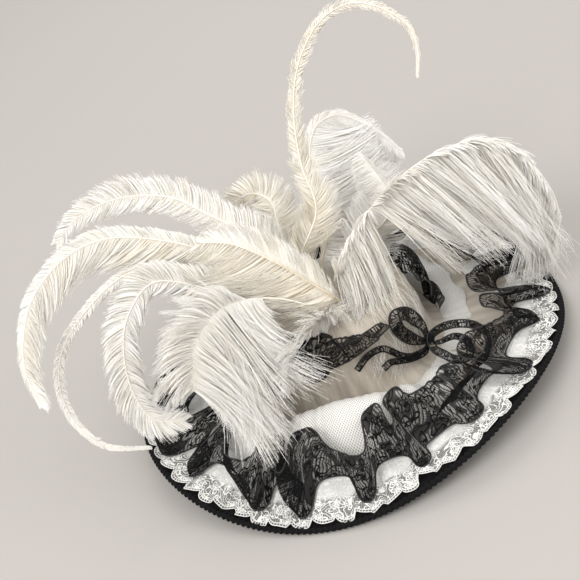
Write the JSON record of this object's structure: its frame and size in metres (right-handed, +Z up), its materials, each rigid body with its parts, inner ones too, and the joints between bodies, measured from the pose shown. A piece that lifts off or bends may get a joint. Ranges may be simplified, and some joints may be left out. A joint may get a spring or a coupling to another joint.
{
  "type": "wide-brim hat",
  "caption": "Black wide-brimmed picture hat with a waved round brim, low crown, lace, tulle and chiffon trims, a lace bow and white ostrich plumes.",
  "frame": {"origin": "middle of the whole hat's box, on the surface that the brim stands on", "axes": "+Z up along the crown's axis, +X to the wearer's left as seen from the front, -Y the wearer's front; the crown's axis stands at x = 20.1 mm, y = 0"},
  "size_m": [0.5666, 0.4702, 0.3326],
  "materials": {
    "felt": "matte",
    "braid": "matte",
    "chiffon": "satin",
    "white_lace": "matte",
    "tulle": "matte",
    "black_lace": "matte",
    "plume": "matte"
  },
  "bodies": {
    "root": {"brim": "felt", "edge_braid": "braid", "crown": "felt", "chiffon_drape": "chiffon", "white_lace_ruffle": "white_lace", "tulle_ruffle": "tulle", "black_lace_ruffle": "black_lace", "black_lace_inner": "black_lace", "bow_knot": "black_lace", "bow_loop_right": "black_lace", "bow_loop_crown": "black_lace", "bow_tail_front": "black_lace", "bow_tail_low": "black_lace", "plume_tall": "plume", "plume_fan": "plume", "plume_fan_inner": "plume", "plume_right": "plume", "plume_front": "plume", "plume_upper_left": "plume", "plume_far_left": "plume", "plume_slim": "plume", "plume_drop_left": "plume", "plume_big_left": "plume", "plume_front_low": "plume", "plume_back": "plume"}
  },
  "joints": []
}
